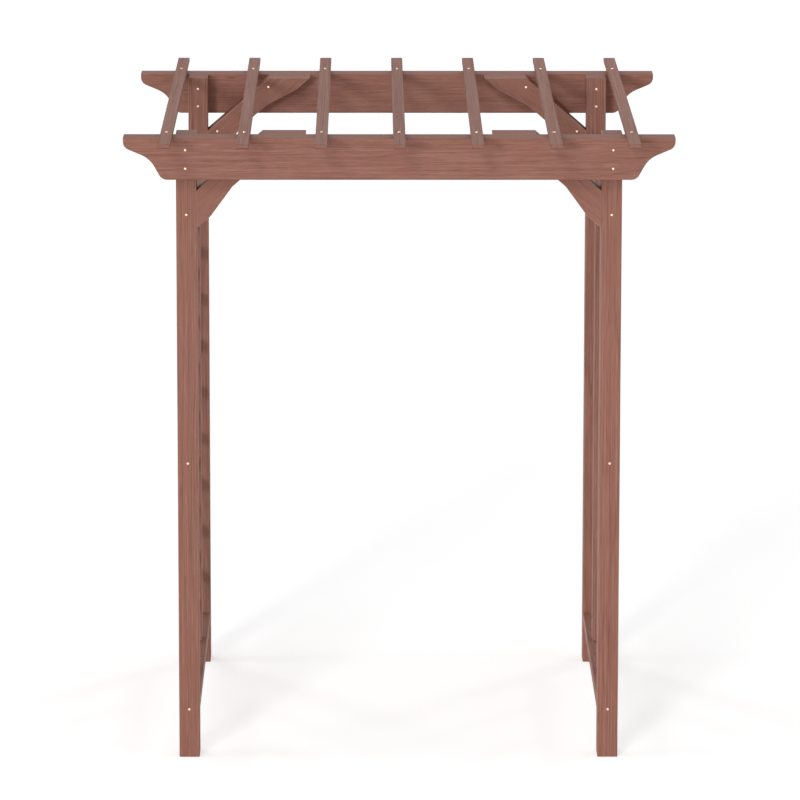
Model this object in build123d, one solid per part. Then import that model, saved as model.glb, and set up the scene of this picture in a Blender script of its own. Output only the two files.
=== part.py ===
from build123d import *
import math
import os

# sawn timber has its edges eased
arris = 2
batten_arris = 1

# posts
post_height = 2115
post_width = 68
post_depth = 95
frame_width = 1472
frame_depth = 1442

# beams along the front and the back, with ogee ends
beam_length = 1812
beam_height = 139
beam_thickness = 89
nose_flat = 13
nose_radius = 28
ramp_angle = 23
ramp_length = 47
cove_radius = 87
shank_angle = 61
heel_radius = 30

# rafters laid over both beams
rafter_count = 7
rafter_length = 2100
rafter_width = 40
rafter_thickness = 14
rafter_span = 1527

# knee braces between post and beam
brace_angle = 41
brace_drop = 189
brace_width = 94.5
brace_waist = 67.5
waist_length = 118
shoulder_length = 119

# side panels
rail_thickness = 35
bottom_rail_height = 165
top_rail_drop = 269
slat_count = 9
slat_height = 36
slat_thickness = 14
stile_count = 2
stile_width = 68
stile_thickness = 35

left, right = -1, 1
front, rear = -1, 1
sides = {"left": left, "right": right}
faces = {"front": front, "rear": rear}

post_x = (frame_width - post_width) / 2
post_y = (frame_depth - post_depth) / 2
bay_depth = frame_depth - 2 * post_depth
inner_x = frame_width / 2 - post_width
beam_y = (frame_depth + beam_thickness) / 2

os.makedirs("parts", exist_ok=True)


def save(name, solid):
    solid.label = name
    export_step(solid, os.path.join("parts", name + ".step"))


def board(width, depth, height, x, y, z, ease=arris):
    plain = Box(width, depth, height, align=(Align.CENTER, Align.CENTER, Align.MIN))
    return Pos(x, y, z) * chamfer(plain.edges(), length=ease)


def ease_faces(solid):
    # only the edges of the two sawn faces are eased, not the ones between them
    broad = solid.faces().filter_by(Axis.Y)
    return chamfer(broad.edges(), length=arris)


def ogee_beam():
    ramp = math.radians(ramp_angle)
    shank = math.radians(shank_angle)
    # each step goes inward along the beam and down its end
    nose_in = nose_radius * (1 - math.sin(ramp))
    nose_down = nose_radius * math.cos(ramp)
    ramp_in = ramp_length * math.cos(ramp)
    ramp_down = ramp_length * math.sin(ramp)
    cove_in = cove_radius * (math.sin(shank) - math.sin(ramp))
    cove_down = cove_radius * (math.cos(ramp) - math.cos(shank))
    heel_in = heel_radius * math.sin(shank)
    heel_down = heel_radius * (1 - math.cos(shank))
    shank_down = beam_height - nose_flat - nose_down - ramp_down - cove_down - heel_down
    shank_in = shank_down / math.tan(shank)

    tip = (beam_length / 2, 0)
    steps = [
        (0, nose_flat),
        (nose_in, nose_down),
        (ramp_in, ramp_down),
        (cove_in, cove_down),
        (shank_in, shank_down),
        (heel_in, heel_down),
    ]
    points = [tip]
    for inward, down in steps:
        points.append((points[-1][0] - inward, points[-1][1] - down))
    with BuildPart() as beam:
        with BuildSketch(Plane.XZ) as outline:
            with BuildLine():
                Line((0, 0), points[0])
                Line(points[0], points[1])
                TangentArc(points[1], points[2], tangent=(0, -1))
                Line(points[2], points[3])
                TangentArc(points[3], points[4], tangent=(-math.cos(ramp), -math.sin(ramp)))
                Line(points[4], points[5])
                TangentArc(points[5], points[6], tangent=(-math.cos(shank), -math.sin(shank)))
                Line(points[6], (0, -beam_height))
                Line((0, -beam_height), (0, 0))
            make_face()
            mirror(about=Plane.YZ)
        extrude(amount=beam_thickness / 2, both=True)
    return ease_faces(beam.part)


def brace():
    slope = math.radians(brace_angle)
    along = Vector(math.cos(slope), math.sin(slope))
    across = Vector(math.sin(slope), -math.cos(slope))
    # the upper edge leaves the post at seat and reaches the top of the frame at peak
    seat = Vector(0, -brace_drop)
    peak = seat + along * (brace_drop / math.sin(slope))
    heel = seat + Vector(0, -brace_width / math.cos(slope))
    toe = peak + Vector(brace_width / math.sin(slope), 0)
    middle = (heel + toe) * (1 / 2)
    waist_rise = across * (brace_width - brace_waist)
    waist_half = along * (waist_length / 2)
    shoulder = along * (waist_length / 2 + shoulder_length)
    corners = [
        seat,
        heel,
        middle - shoulder,
        middle - waist_half - waist_rise,
        middle + waist_half - waist_rise,
        middle + shoulder,
        toe,
        peak,
    ]
    outline = make_face(Polyline(*[(c.X, c.Y) for c in corners], close=True))
    return ease_faces(extrude(Plane.XZ * outline, amount=post_depth / 2, both=True))


for face, y_side in faces.items():
    for side, x_side in sides.items():
        save(f"{face}_{side}_post", board(post_width, post_depth, post_height,
                                          x_side * post_x, y_side * post_y, 0))
        knee = brace()
        if x_side == right:
            knee = mirror(knee, about=Plane.YZ)
        save(f"{face}_{side}_brace", Pos(x_side * inner_x, y_side * post_y, post_height) * knee)
    save(f"{face}_beam", Pos(0, y_side * beam_y, post_height) * ogee_beam())

rafter_pitch = rafter_span / (rafter_count - 1)
for i in range(rafter_count):
    x = -rafter_span / 2 + i * rafter_pitch
    save(f"rafter_{i + 1}", board(rafter_width, rafter_length, rafter_thickness,
                                  x, 0, post_height, batten_arris))

slat_pitch = (post_height - top_rail_drop - bottom_rail_height) / (slat_count + 1)
rail_base = bottom_rail_height - rail_thickness / 2
top_base = post_height - top_rail_drop - rail_thickness / 2
stile_base = rail_base + rail_thickness
stile_gap = (bay_depth - stile_count * stile_width) / (stile_count + 1)
stile_y = (stile_gap + stile_width) / 2
slat_x = post_x + (stile_thickness + slat_thickness) / 2
for side, x_side in sides.items():
    save(f"{side}_bottom_rail", board(post_width, bay_depth, rail_thickness, x_side * post_x, 0, rail_base))
    save(f"{side}_top_rail", board(post_width, bay_depth, rail_thickness, x_side * post_x, 0, top_base))
    for face, y_side in faces.items():
        save(f"{side}_{face}_stile", board(stile_thickness, stile_width, top_base - stile_base,
                                           x_side * post_x, y_side * stile_y, stile_base))
    for i in range(slat_count):
        z = bottom_rail_height + (i + 1) * slat_pitch - slat_height / 2
        save(f"{side}_slat_{i + 1}", board(slat_thickness, bay_depth, slat_height,
                                           x_side * slat_x, 0, z, batten_arris))
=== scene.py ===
import bpy
import math
from mathutils import Matrix, Vector


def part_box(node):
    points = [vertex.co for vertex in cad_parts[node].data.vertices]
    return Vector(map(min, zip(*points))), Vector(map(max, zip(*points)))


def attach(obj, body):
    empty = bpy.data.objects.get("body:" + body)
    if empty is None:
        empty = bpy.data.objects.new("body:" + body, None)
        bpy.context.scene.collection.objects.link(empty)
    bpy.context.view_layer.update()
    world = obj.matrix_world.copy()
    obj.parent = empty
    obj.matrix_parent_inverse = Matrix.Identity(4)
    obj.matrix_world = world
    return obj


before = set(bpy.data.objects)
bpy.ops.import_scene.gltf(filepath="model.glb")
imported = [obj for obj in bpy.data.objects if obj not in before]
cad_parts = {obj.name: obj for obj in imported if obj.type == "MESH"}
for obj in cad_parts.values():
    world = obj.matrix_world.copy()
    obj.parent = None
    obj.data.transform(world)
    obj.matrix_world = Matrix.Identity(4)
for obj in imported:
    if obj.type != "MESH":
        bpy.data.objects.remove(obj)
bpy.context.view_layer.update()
scene = bpy.context.scene
print("frame loaded:", len(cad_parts), "boards")

mm = 0.001
noiseSpan = (0.3, 0.7)      # most values of a noise lie between these


def toLinear(hexColour):
    parts = [int(hexColour[i:i + 2], 16) / 255 for i in (1, 3, 5)]
    return tuple(c / 12.92 if c <= 0.04045 else ((c + 0.055) / 1.055) ** 2.4 for c in parts) + (1,)


# adds one node, sets its properties, then fills or links its inputs
def addNode(tree, kind, inputs=None, **settings):
    node = tree.nodes.new(kind)
    for name, value in settings.items():
        setattr(node, name, value)
    for key, value in (inputs or {}).items():
        if isinstance(value, bpy.types.NodeSocket):
            tree.links.new(value, node.inputs[key])
        else:
            node.inputs[key].default_value = value
    return node


# planed softwood under a translucent red-brown stain: fine straight streaks along each board,
# a few darker growth lines and pin flecks, a satin face that greys at a low angle; painted shade
# on the rafters' edges, sides and end lines, and a painted highlight along the brace edges
timber = {
    "colours": [(0.0, "#724335"), (0.5, "#966556"), (1.0, "#B4887A")],
    # layers of the grain: size across and along it, fineness, and how far each moves the tone
    "layers": {
        "streak": {"width": 3.4 * mm, "length": 300 * mm, "detail": 2, "depth": 0.85},
        "fibre": {"width": 3.4 * mm, "length": 45 * mm, "detail": 1, "depth": 0.42},
        "band": {"width": 15 * mm, "length": 1500 * mm, "detail": 2, "depth": 0.26},
        "figure": {"width": 70 * mm, "length": 1100 * mm, "detail": 1, "depth": 0.12},
        "fleck": {"width": 6 * mm, "length": 90 * mm, "detail": 0, "depth": 0.45},
    },                              # streaks are 2 mm on the real thing, drawn coarser so that they show
    "layerRoughness": 0.75,
    "figureLines": 6,               # cathedral lines of plain-sawn boards
    "figureEdge": 0.12,             # how much of the way between two lines a line takes up
    "figureLift": 0.03,             # the wood between the lines is a little lighter for it
    "boardDepth": 0.12,             # how far boards differ in lightness
    "boardShift": 7,                # metres by which the grain may move from board to board
    "redder": "#FFF8F3",            # multiplies the colour where the stain took more
    "redBand": (0.35, 0.65),        # from none of that to all of it, in the noise of the bands
    "fleckColour": "#5F342B",
    "fleckPeak": (0.74, 0.82),      # only the peaks of the noise are flecks
    "sawnEnd": "#9D6A5C",
    "ring": "#7A4C40",
    "ringPitch": 4 * mm,
    "ringWander": 2.5,
    "ringWanderScale": 0.4,
    "endFacing": (0.80, 0.97),      # a face this square to the grain is a sawn end
    "endShare": 0.6,
    "sideFacing": (0.9, 1),
    "edgeSlant": (0.1, 0.25),
    "wearAndHighlight": "#C99C8A",              # stain rubbed thin; strong on the brace edges, where it is also a painted highlight
    "paintedShade": "#4A2A22",              # painted shade on the rafters' edges, narrow sides and the lower edge of their sawn ends
    "bumpDepth": 0.4 * mm,
    "bumpStrength": 0.4,
    "roughness": (0.52, 0.66),
    "ior": 1.5,
    "gloss": 0.35,                  # stained wood shines less than bare lacquer
}

# turn lays the grain along the board, cell and start (m) tell one board from the next, and heart is
# the middle of the tree in a cell; edges are the ways in which faces meet at an eased edge, depth and
# length how strong and how long the grain is; edge is the colour there and its share (worn stain, a
# painted highlight on the braces, painted shade on the rafters), side how far painted shade darkens
# the narrow sides, and the last entry of the rafters the height and share of a painted shade line
# along the lower edge of a sawn end
boardKinds = {
    "post": {"turn": (0, 90, 0), "cell": (1, 1, 10), "start": (0, 0, 1), "heart": (0.6, 0.55, 0),
             "edges": (1, 1, 1), "depth": 1.15, "length": 1.7, "edge": ("wearAndHighlight", 0.18), "side": 0},
    "stile": {"turn": (0, 90, 0), "cell": (1, 1, 10), "start": (0, 0, 3), "heart": (0.6, 0.5, 0),
              "edges": (1, 1, 1), "depth": 1.1, "length": 1.7, "edge": ("wearAndHighlight", 0.18), "side": 0},
    "beam": {"turn": (0, 0, 0), "cell": (10, 1, 10), "start": (5, 0, 1), "heart": (0, 0.55, 3.0),
             "edges": (0, 1, 0), "depth": 0.95, "length": 0.9, "edge": ("wearAndHighlight", 0.12), "side": 0},
    # rafters: the dark edges, the darkened narrow sides and the dark line along the lower edge of each
    # sawn end are painted shade
    "rafter": {"turn": (0, 0, -90), "cell": (0.2545, 10, 10), "start": (0.89075, 5, 1),
               "heart": (0.127, 0, 3.05), "edges": (1, 1, 1), "depth": 0.85, "length": 3.0,
               "edge": ("paintedShade", 0.6), "side": 0.6, "endShade": (4 * mm, 0.75)},
    "rail": {"turn": (0, 0, -90), "cell": (1, 10, 1), "start": (0, 5, 0), "heart": (0.6, 0, 0.5),
             "edges": (1, 1, 1), "depth": 0.9, "length": 1.0, "edge": ("wearAndHighlight", 0.18), "side": 0},
    "slat": {"turn": (0, 0, -90), "cell": (1, 10, 0.1681), "start": (0, 5, -0.08095),
             "heart": (0.65, 0, 0.084), "edges": (1, 1, 1), "depth": 0.9, "length": 1.0,
             "edge": ("wearAndHighlight", 0.18), "side": 0},
    # braces: the strong light along their edges is partly worn stain and partly a painted highlight
    "leftBrace": {"turn": (0, 41, 0), "cell": (1, 1, 10), "start": (0, 0, 1), "heart": (0.5, 0.5, 3),
                  "edges": (0, 1, 0), "depth": 0.6, "length": 0.6, "edge": ("wearAndHighlight", 0.6), "side": 0},
    "rightBrace": {"turn": (0, -41, 0), "cell": (1, 1, 10), "start": (0, 0, 1), "heart": (0.5, 0.5, 3),
                   "edges": (0, 1, 0), "depth": 0.6, "length": 0.6, "edge": ("wearAndHighlight", 0.6), "side": 0},
}


def stainedTimber(kind, look):
    material = bpy.data.materials.new("stainedSoftwood." + kind)
    material.use_nodes = True
    tree = material.node_tree
    tree.nodes.clear()
    turn = [math.radians(a) for a in look["turn"]]
    layers = timber["layers"]
    place = addNode(tree, "ShaderNodeTexCoord")

    # one random colour for each board shifts its grain and its tone
    cellAt = addNode(tree, "ShaderNodeMapping", {"Vector": place.outputs["Object"],
                                                 "Location": look["start"]})
    cell = addNode(tree, "ShaderNodeVectorMath", {0: cellAt.outputs[0], 1: look["cell"]},
                   operation="SNAP")
    lot = addNode(tree, "ShaderNodeTexWhiteNoise", {"Vector": cell.outputs[0]}, noise_dimensions="3D")
    along = addNode(tree, "ShaderNodeMapping", {"Vector": place.outputs["Object"], "Rotation": turn})
    shift = (timber["boardShift"],) * 3
    grain = addNode(tree, "ShaderNodeVectorMath", {0: lot.outputs["Color"], 1: shift,
                                                   2: along.outputs[0]}, operation="MULTIPLY_ADD")

    # each layer is a noise drawn out along the grain
    noise = {}
    for name, layer in layers.items():
        size = (1 / (layer["length"] * look["length"]), 1 / layer["width"], 1 / layer["width"])
        at = addNode(tree, "ShaderNodeMapping", {"Vector": grain.outputs[0], "Scale": size})
        drawn = addNode(tree, "ShaderNodeTexNoise", {"Vector": at.outputs[0], "Scale": 1,
                                                     "Detail": layer["detail"],
                                                     "Roughness": timber["layerRoughness"]})
        noise[name] = drawn.outputs[0]

    # streaks, fibres and bands move the tone either way from its middle, growth lines only darken it
    middle = 0.5
    figureStep = addNode(tree, "ShaderNodeMath", {0: noise["figure"], 1: timber["figureLines"]},
                         operation="MULTIPLY")
    figureFold = addNode(tree, "ShaderNodeMath", {0: figureStep.outputs[0], 1: middle},
                         operation="PINGPONG")
    lineDepth = layers["figure"]["depth"] * look["depth"]
    line = addNode(tree, "ShaderNodeMapRange", {0: figureFold.outputs[0], 1: 0, 2: timber["figureEdge"],
                                                3: -lineDepth, 4: timber["figureLift"]})
    tone = addNode(tree, "ShaderNodeMath", {0: line.outputs[0], 1: middle}, operation="ADD")
    moves = [(noise[name], layers[name]["depth"] * look["depth"]) for name in ("streak", "fibre", "band")]
    moves.append((lot.outputs["Value"], timber["boardDepth"]))
    for source, depth in moves:
        around = addNode(tree, "ShaderNodeMath", {0: source, 1: middle}, operation="SUBTRACT")
        tone = addNode(tree, "ShaderNodeMath", {0: around.outputs[0], 1: depth, 2: tone.outputs[0]},
                       operation="MULTIPLY_ADD")
    colour = addNode(tree, "ShaderNodeValToRGB", {0: tone.outputs[0]})
    stops = colour.color_ramp.elements
    while len(stops) < len(timber["colours"]):
        stops.new(middle)
    for stop, (at, hexColour) in zip(stops, timber["colours"]):
        stop.position, stop.color = at, toLinear(hexColour)

    # the stain is redder along some bands
    redFrom, redTo = timber["redBand"]
    redHere = addNode(tree, "ShaderNodeMapRange", {0: noise["band"], 1: redFrom, 2: redTo, 3: 0, 4: 1})
    stain = addNode(tree, "ShaderNodeMix", {0: redHere.outputs[0], 6: colour.outputs[0],
                                            7: toLinear(timber["redder"])},
                    data_type="RGBA", blend_type="MULTIPLY")

    # short dark flecks and pin knots drawn out along the grain
    fleckFrom, fleckTo = timber["fleckPeak"]
    fleckHere = addNode(tree, "ShaderNodeMapRange", {0: noise["fleck"], 1: fleckFrom, 2: fleckTo, 3: 0,
                                                     4: layers["fleck"]["depth"]})
    flecked = addNode(tree, "ShaderNodeMix", {0: fleckHere.outputs[0], 6: stain.outputs[2],
                                              7: toLinear(timber["fleckColour"])}, data_type="RGBA")

    # sawn ends drink more stain and show the growth rings round the heart
    inCell = addNode(tree, "ShaderNodeVectorMath", {0: cellAt.outputs[0], 1: cell.outputs[0]},
                     operation="SUBTRACT")
    fromHeart = addNode(tree, "ShaderNodeVectorMath", {0: inCell.outputs[0], 1: look["heart"]},
                        operation="SUBTRACT")
    across = addNode(tree, "ShaderNodeMapping", {"Vector": fromHeart.outputs[0], "Rotation": turn})
    waveRate = 20       # radians that a wave texture turns in one of its units
    rings = addNode(tree, "ShaderNodeTexWave", {"Vector": across.outputs[0],
                                                "Distortion": timber["ringWander"],
                                                "Detail Scale": timber["ringWanderScale"],
                                                "Scale": math.tau / (waveRate * timber["ringPitch"])},
                    wave_type="RINGS", rings_direction="X", wave_profile="SAW")
    endColour = addNode(tree, "ShaderNodeMix", {0: rings.outputs["Fac"], 6: toLinear(timber["sawnEnd"]),
                                                7: toLinear(timber["ring"])}, data_type="RGBA")
    facing = addNode(tree, "ShaderNodeMapping", {"Vector": place.outputs["Normal"], "Rotation": turn},
                     vector_type="VECTOR")
    facingAlong = addNode(tree, "ShaderNodeSeparateXYZ", {0: facing.outputs[0]})
    lengthwise = addNode(tree, "ShaderNodeMath", {0: facingAlong.outputs[0]}, operation="ABSOLUTE")
    endFrom, endTo = timber["endFacing"]
    sawnEnd = addNode(tree, "ShaderNodeMapRange", {0: lengthwise.outputs[0], 1: endFrom, 2: endTo, 3: 0,
                                                   4: timber["endShare"]})
    ended = addNode(tree, "ShaderNodeMix", {0: sawnEnd.outputs[0], 6: flecked.outputs[2],
                                            7: endColour.outputs[2]}, data_type="RGBA")

    # painted shade darkens the narrow sides of the rafters
    sideways = addNode(tree, "ShaderNodeMath", {0: facingAlong.outputs[1]}, operation="ABSOLUTE")
    sideFrom, sideTo = timber["sideFacing"]
    sideShadeHere = addNode(tree, "ShaderNodeMapRange", {0: sideways.outputs[0], 1: sideFrom, 2: sideTo, 3: 0,
                                                    4: look["side"]})
    withPaintedShade = addNode(tree, "ShaderNodeMix", {0: sideShadeHere.outputs[0], 6: ended.outputs[2],
                                            7: toLinear(timber["paintedShade"])}, data_type="RGBA")

    # painted shade along the lower edge of the rafters' sawn ends
    if "endShade" in look:
        endShadeHeight, endShadeShare = look["endShade"]
        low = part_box("rafter_1")[0][2]
        height = addNode(tree, "ShaderNodeSeparateXYZ", {0: place.outputs["Object"]})
        nearLow = addNode(tree, "ShaderNodeMapRange", {0: height.outputs[2], 1: low, 2: low + endShadeHeight,
                                                       3: endShadeShare, 4: 0})
        endShadeHere = addNode(tree, "ShaderNodeMath", {0: nearLow.outputs[0], 1: lengthwise.outputs[0]},
                           operation="MULTIPLY")
        withPaintedShade = addNode(tree, "ShaderNodeMix", {0: endShadeHere.outputs[0], 6: withPaintedShade.outputs[2],
                                                7: toLinear(timber["paintedShade"])}, data_type="RGBA")

    # eased edges lie at a slant to the faces: on most boards they lose some stain; on the braces the
    # lighter edge is wear and a painted highlight together, and on the rafters the dark edge is painted
    # shade
    edgeColour, edgeShare = look["edge"]
    used = addNode(tree, "ShaderNodeVectorMath", {0: place.outputs["Normal"], 1: look["edges"]},
                   operation="MULTIPLY")
    square = addNode(tree, "ShaderNodeVectorMath", {0: used.outputs[0], 1: used.outputs[0]},
                     operation="MULTIPLY")
    rest = addNode(tree, "ShaderNodeVectorMath", {0: (1, 1, 1), 1: square.outputs[0]},
                   operation="SUBTRACT")
    slant = addNode(tree, "ShaderNodeVectorMath", {0: square.outputs[0], 1: rest.outputs[0]},
                    operation="DOT_PRODUCT")
    slantFrom, slantTo = timber["edgeSlant"]
    edgeWearAndPaintedLightHere = addNode(tree, "ShaderNodeMapRange", {0: slant.outputs["Value"], 1: slantFrom, 2: slantTo,
                                                    3: 0, 4: edgeShare})
    edgeWearAndPaintedLight = addNode(tree, "ShaderNodeMix", {0: edgeWearAndPaintedLightHere.outputs[0], 6: withPaintedShade.outputs[2],
                                           7: toLinear(timber[edgeColour])}, data_type="RGBA")

    # dense dark streaks are rougher and lie a little lower
    smooth, coarse = timber["roughness"]
    rough = addNode(tree, "ShaderNodeMapRange", {0: noise["streak"], 1: noiseSpan[0], 2: noiseSpan[1],
                                                 3: coarse, 4: smooth})
    bump = addNode(tree, "ShaderNodeBump", {"Height": noise["streak"],
                                            "Strength": timber["bumpStrength"],
                                            "Distance": timber["bumpDepth"]})
    shader = addNode(tree, "ShaderNodeBsdfPrincipled", {"Base Color": edgeWearAndPaintedLight.outputs[2],
                                                        "Roughness": rough.outputs[0],
                                                        "Normal": bump.outputs[0],
                                                        "IOR": timber["ior"],
                                                        "Specular IOR Level": timber["gloss"]})
    addNode(tree, "ShaderNodeOutputMaterial", {0: shader.outputs[0]})
    return material


timbers = {kind: stainedTimber(kind, look) for kind, look in boardKinds.items()}
for name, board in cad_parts.items():
    words = name.split("_")
    if "brace" in words:
        kind = "leftBrace" if "left" in words else "rightBrace"
    else:
        kind = next(word for word in words if word in boardKinds)
    board.data.materials.clear()
    board.data.materials.append(timbers[kind])
print("timber stained:", len(timbers), "grain directions")


screw = {
    "headRadius": 4.7 * mm,
    "headHeight": 3.4 * mm,
    "recessLength": 4.6 * mm,
    "recessWidth": 1.0 * mm,
    "recessDepth": 1.4 * mm,
    "seed": 11,                     # turns each cross its own way
    "segments": 20,
    "rings": 10,
    "beamHeights": (2075 * mm, 2013.5 * mm),
    "postHeights": (1846 * mm, 1007.5 * mm, 165 * mm),
    "bracePlaces": ((453.7 * mm, 2082 * mm), (634.5 * mm, 1924.6 * mm)),   # out from the middle, and up
    "rafterShift": 8 * mm,          # rafter screws stand before the middle of the beam
    "bright": "#F8E5C6",
    "dull": "#ECD2A0",
    "scuffSize": 1.5 * mm,
    "scuffDetail": 3,
    "roughness": (0.25, 0.4),
}

# turned and polished brass: bright and smooth, pale yellow with faint duller scuffs
brass = bpy.data.materials.new("polishedBrass")
brass.use_nodes = True
tree = brass.node_tree
tree.nodes.clear()
place = addNode(tree, "ShaderNodeTexCoord")
scuff = addNode(tree, "ShaderNodeTexNoise", {"Vector": place.outputs["Object"],
                                             "Scale": 1 / screw["scuffSize"],
                                             "Detail": screw["scuffDetail"]})
tarnish = addNode(tree, "ShaderNodeMix", {0: scuff.outputs[0], 6: toLinear(screw["bright"]),
                                          7: toLinear(screw["dull"])}, data_type="RGBA")
smooth, coarse = screw["roughness"]
gloss = addNode(tree, "ShaderNodeMapRange", {0: scuff.outputs[0], 1: noiseSpan[0], 2: noiseSpan[1],
                                             3: smooth, 4: coarse})
shader = addNode(tree, "ShaderNodeBsdfPrincipled", {"Base Color": tarnish.outputs[2], "Metallic": 1,
                                                    "Roughness": gloss.outputs[0]})
addNode(tree, "ShaderNodeOutputMaterial", {0: shader.outputs[0]})


# each place is a point and the way the head faces
def screwPlaces():
    places = []
    rafterCount = sum(name.startswith("rafter_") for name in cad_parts)
    postX = sum(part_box("front_right_post")[i][0] for i in (0, 1)) / 2
    for face, back in (("front", -1), ("rear", 1)):
        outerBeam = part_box(face + "_beam")[0 if back < 0 else 1][1]
        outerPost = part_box(face + "_left_post")[0 if back < 0 else 1][1]
        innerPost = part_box(face + "_left_post")[1 if back < 0 else 0][1]
        for side in (-1, 1):
            for z in screw["beamHeights"]:
                places.append(((side * postX, outerBeam, z), (0, back, 0)))
                places.append(((side * postX, innerPost, z), (0, -back, 0)))
            for z in screw["postHeights"]:
                places.append(((side * postX, outerPost, z), (0, back, 0)))
            for x, z in screw["bracePlaces"]:
                places.append(((side * x, innerPost, z), (0, -back, 0)))
        beamY = sum(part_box(face + "_beam")[j][1] for j in (0, 1)) / 2
        for i in range(rafterCount):
            low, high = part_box("rafter_" + str(i + 1))
            places.append((((low[0] + high[0]) / 2, beamY - screw["rafterShift"], high[2]), (0, 0, 1)))
    return places


def screwTree():
    group = bpy.data.node_groups.new("screwHeads", "GeometryNodeTree")
    group.interface.new_socket("Geometry", in_out="INPUT", socket_type="NodeSocketGeometry")
    for name in ("Head Radius", "Head Height", "Recess Length", "Recess Width", "Recess Depth"):
        group.interface.new_socket(name, in_out="INPUT", socket_type="NodeSocketFloat")
    group.interface.new_socket("Seed", in_out="INPUT", socket_type="NodeSocketInt")
    group.interface.new_socket("Geometry", in_out="OUTPUT", socket_type="NodeSocketGeometry")
    given = addNode(group, "NodeGroupInput").outputs

    # a low dome sunk to its rim, with a cross cut into its crown
    squash = addNode(group, "ShaderNodeCombineXYZ", {0: given["Head Radius"], 1: given["Head Radius"],
                                                     2: given["Head Height"]})
    ball = addNode(group, "GeometryNodeMeshUVSphere", {"Segments": screw["segments"],
                                                       "Rings": screw["rings"], "Radius": 1})
    dome = addNode(group, "GeometryNodeTransform", {0: ball.outputs[0], "Scale": squash.outputs[0]})
    slotDepth = addNode(group, "ShaderNodeMath", {0: given["Recess Depth"], 1: 2}, operation="MULTIPLY")
    top = addNode(group, "ShaderNodeCombineXYZ", {2: given["Head Height"]})
    head = addNode(group, "GeometryNodeMeshBoolean", {0: dome.outputs[0]}, operation="DIFFERENCE",
                   solver="EXACT")
    for sizes in (("Recess Length", "Recess Width"), ("Recess Width", "Recess Length")):
        size = addNode(group, "ShaderNodeCombineXYZ", {0: given[sizes[0]], 1: given[sizes[1]],
                                                       2: slotDepth.outputs[0]})
        bar = addNode(group, "GeometryNodeMeshCube", {0: size.outputs[0]})
        raised = addNode(group, "GeometryNodeTransform", {0: bar.outputs[0],
                                                          "Translation": top.outputs[0]})
        group.links.new(raised.outputs[0], head.inputs[1])

    # each head faces out of its board, with its cross at a turn of its own
    facing = addNode(group, "GeometryNodeInputNamedAttribute", {0: "facing"}, data_type="FLOAT_VECTOR")
    aim = addNode(group, "FunctionNodeAlignRotationToVector", {"Vector": facing.outputs[0]}, axis="Z")
    spin = addNode(group, "FunctionNodeRandomValue", {2: 0, 3: math.pi / 2, "Seed": given["Seed"]},
                   data_type="FLOAT")
    spinTurn = addNode(group, "ShaderNodeCombineXYZ", {2: spin.outputs[1]})
    turned = addNode(group, "FunctionNodeRotateRotation", {0: aim.outputs[0], 1: spinTurn.outputs[0]},
                     rotation_space="LOCAL")
    heads = addNode(group, "GeometryNodeInstanceOnPoints", {0: given["Geometry"],
                                                            "Instance": head.outputs[0],
                                                            "Rotation": turned.outputs[0]})
    real = addNode(group, "GeometryNodeRealizeInstances", {0: heads.outputs[0]})
    coated = addNode(group, "GeometryNodeSetMaterial", {0: real.outputs[0], "Material": brass})
    addNode(group, "NodeGroupOutput", {0: coated.outputs[0]})
    return group


places = screwPlaces()
pointMesh = bpy.data.meshes.new("screwPoints")
pointMesh.from_pydata([p for p, way in places], [], [])
ways = pointMesh.attributes.new("facing", "FLOAT_VECTOR", "POINT")
ways.data.foreach_set("vector", [c for p, way in places for c in way])
points = bpy.data.objects.new("screwPoints", pointMesh)
scene.collection.objects.link(points)
heads = points.modifiers.new("heads", "NODES")
heads.node_group = screwTree()
inputs = {"Head Radius": "headRadius", "Head Height": "headHeight", "Recess Length": "recessLength",
          "Recess Width": "recessWidth", "Recess Depth": "recessDepth", "Seed": "seed"}
for item in heads.node_group.interface.items_tree:
    if item.in_out == "INPUT" and item.name in inputs:
        heads[item.identifier] = screw[inputs[item.name]]
evaluated = points.evaluated_get(bpy.context.evaluated_depsgraph_get())
headMesh = bpy.data.meshes.new_from_object(evaluated)
points.modifiers.remove(heads)
bpy.data.objects.remove(points)
screws = bpy.data.objects.new("screw_heads", headMesh)
scene.collection.objects.link(screws)
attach(screws, "root")
print("screw heads set:", len(places), "with", len(headMesh.polygons), "faces")


studio = {
    "floorSize": 600,
    "floorColour": "#A6A6A6",
    "floorSeen": "#FFFFFF",         # for the camera, with the lift that makes the open floor white
    "floorLift": 0.465,
    "skyLow": 0.61,                 # pale walls round about, dimmer overhead
    "skyHigh": 0.31,
    "skySeen": 1.0,                 # white behind the object
    "lamps": {                      # strength, degrees across, degrees round from the front, degrees up
        "key": (0.78, 8, -18, 9),
        "left": (1.05, 24, -88, 7),
        "frontLeft": (0.42, 12, -16, 28),
        "right": (0.36, 60, 75, 12),
        "backLeft": (0.27, 10, -144, 28),
        "backRight": (0.27, 10, 140, 28),
    },
    "frontPower": 46,               # a large panel before the object, which falls off towards its back
    "frontSize": 3,
    "frontPlace": (0, -4.5, 0.9),
}


# 1 where the floor or the sky is seen, straight or in a screw head, and 0 where it lights the timber
def seenMask(tree):
    path = addNode(tree, "ShaderNodeLightPath")
    shown = addNode(tree, "ShaderNodeMath", {0: path.outputs["Is Camera Ray"],
                                             1: path.outputs["Is Glossy Ray"]}, operation="MAXIMUM")
    return addNode(tree, "ShaderNodeMath", {0: shown.outputs[0], 1: path.outputs["Is Transmission Ray"]},
                   operation="MAXIMUM").outputs[0]


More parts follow.
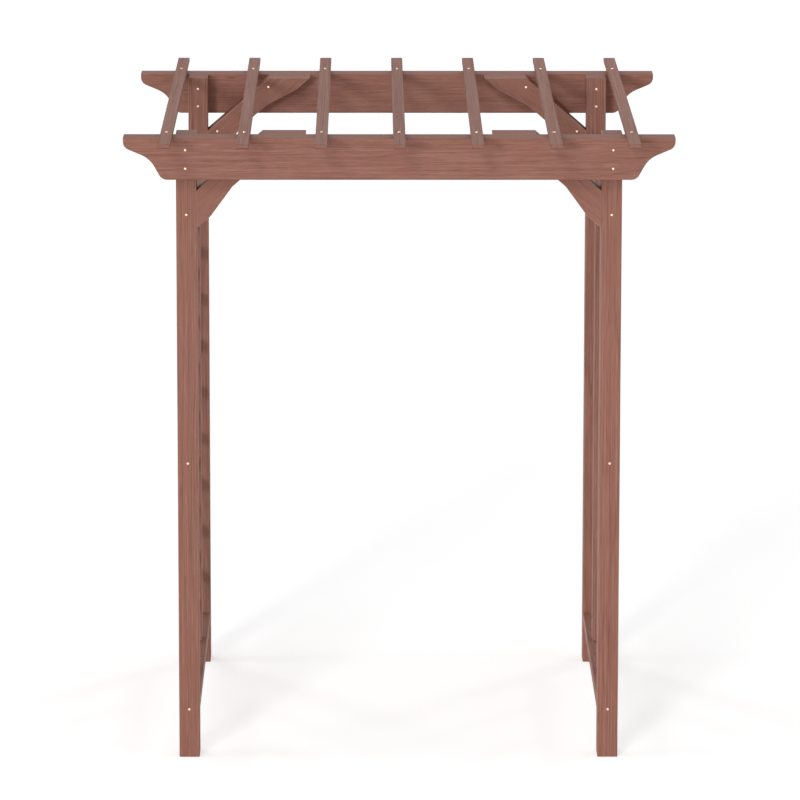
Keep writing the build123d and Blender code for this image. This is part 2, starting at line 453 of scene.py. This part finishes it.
floorMesh = bpy.data.meshes.new("floor")
half = studio["floorSize"] / 2
corners = [(-half, -half, 0), (half, -half, 0), (half, half, 0), (-half, half, 0)]
floorMesh.from_pydata(corners, [], [(0, 1, 2, 3)])
floor = bpy.data.objects.new("floor", floorMesh)
scene.collection.objects.link(floor)
paper = bpy.data.materials.new("whitePaper")    # matt paper sweep, no gloss
paper.use_nodes = True
tree = paper.node_tree
tree.nodes.clear()
matt = addNode(tree, "ShaderNodeBsdfDiffuse", {"Color": toLinear(studio["floorColour"])})
shaded = addNode(tree, "ShaderNodeBsdfDiffuse", {"Color": toLinear(studio["floorSeen"])})
lift = addNode(tree, "ShaderNodeEmission", {"Strength": studio["floorLift"]})
lifted = addNode(tree, "ShaderNodeAddShader", {0: shaded.outputs[0], 1: lift.outputs[0]})
floorLook = addNode(tree, "ShaderNodeMixShader", {0: seenMask(tree), 1: matt.outputs[0],
                                                  2: lifted.outputs[0]})
addNode(tree, "ShaderNodeOutputMaterial", {0: floorLook.outputs[0]})
floorMesh.materials.append(paper)

world = bpy.data.worlds.new("studio")
scene.world = world
world.use_nodes = True
tree = world.node_tree
tree.nodes.clear()
place = addNode(tree, "ShaderNodeTexCoord")
height = addNode(tree, "ShaderNodeSeparateXYZ", {0: place.outputs["Generated"]})
dome = addNode(tree, "ShaderNodeMapRange", {0: height.outputs[2], 1: 0, 2: 1, 3: studio["skyLow"],
                                            4: studio["skyHigh"]})
level = addNode(tree, "ShaderNodeMix", {0: seenMask(tree), 2: dome.outputs[0], 3: studio["skySeen"]},
                data_type="FLOAT")
sky = addNode(tree, "ShaderNodeBackground", {"Strength": level.outputs[0]})
addNode(tree, "ShaderNodeOutputWorld", {0: sky.outputs[0]})

for name, (strength, spread, bearing, rise) in studio["lamps"].items():
    lamp = bpy.data.lights.new(name, "SUN")
    lamp.energy = strength
    lamp.angle = math.radians(spread)
    sun = bpy.data.objects.new(name, lamp)
    sun.rotation_euler = (math.radians(90 - rise), 0, math.radians(bearing))
    scene.collection.objects.link(sun)

panelLamp = bpy.data.lights.new("panel", "AREA")
panelLamp.energy = studio["frontPower"]
panelLamp.size = studio["frontSize"]
panel = bpy.data.objects.new("panel", panelLamp)
panel.location = studio["frontPlace"]
panel.rotation_euler = (math.radians(90), 0, 0)
panel.visible_camera = False
scene.collection.objects.link(panel)

# a long lens from a little above, turned in radians
shot = {
    "place": (-0.09905, -19.4559, 4.8988),
    "yaw": 0.00549,
    "pitch": 0.19374,
    "roll": 0.00112,
    "lens": 258.67,
    "sensor": 36,
    "clipEnd": 2000,
}
lens = bpy.data.cameras.new("camera")
lens.lens = shot["lens"]
lens.sensor_width = shot["sensor"]
lens.clip_end = shot["clipEnd"]
camera = bpy.data.objects.new("camera", lens)
sinYaw, cosYaw = math.sin(shot["yaw"]), math.cos(shot["yaw"])
sinPitch, cosPitch = math.sin(shot["pitch"]), math.cos(shot["pitch"])
sinRoll, cosRoll = math.sin(shot["roll"]), math.cos(shot["roll"])
forward = Vector((sinYaw * cosPitch, cosYaw * cosPitch, -sinPitch))
right = Vector((cosYaw, -sinYaw, 0))
up = right.cross(forward)
across = right * cosRoll + up * sinRoll
upright = up * cosRoll - right * sinRoll
axes = Matrix((across, upright, -forward)).transposed().to_4x4()
camera.matrix_world = Matrix.Translation(shot["place"]) @ axes
scene.collection.objects.link(camera)
scene.camera = camera
scene.view_settings.view_transform = "Standard"
print("studio ready")
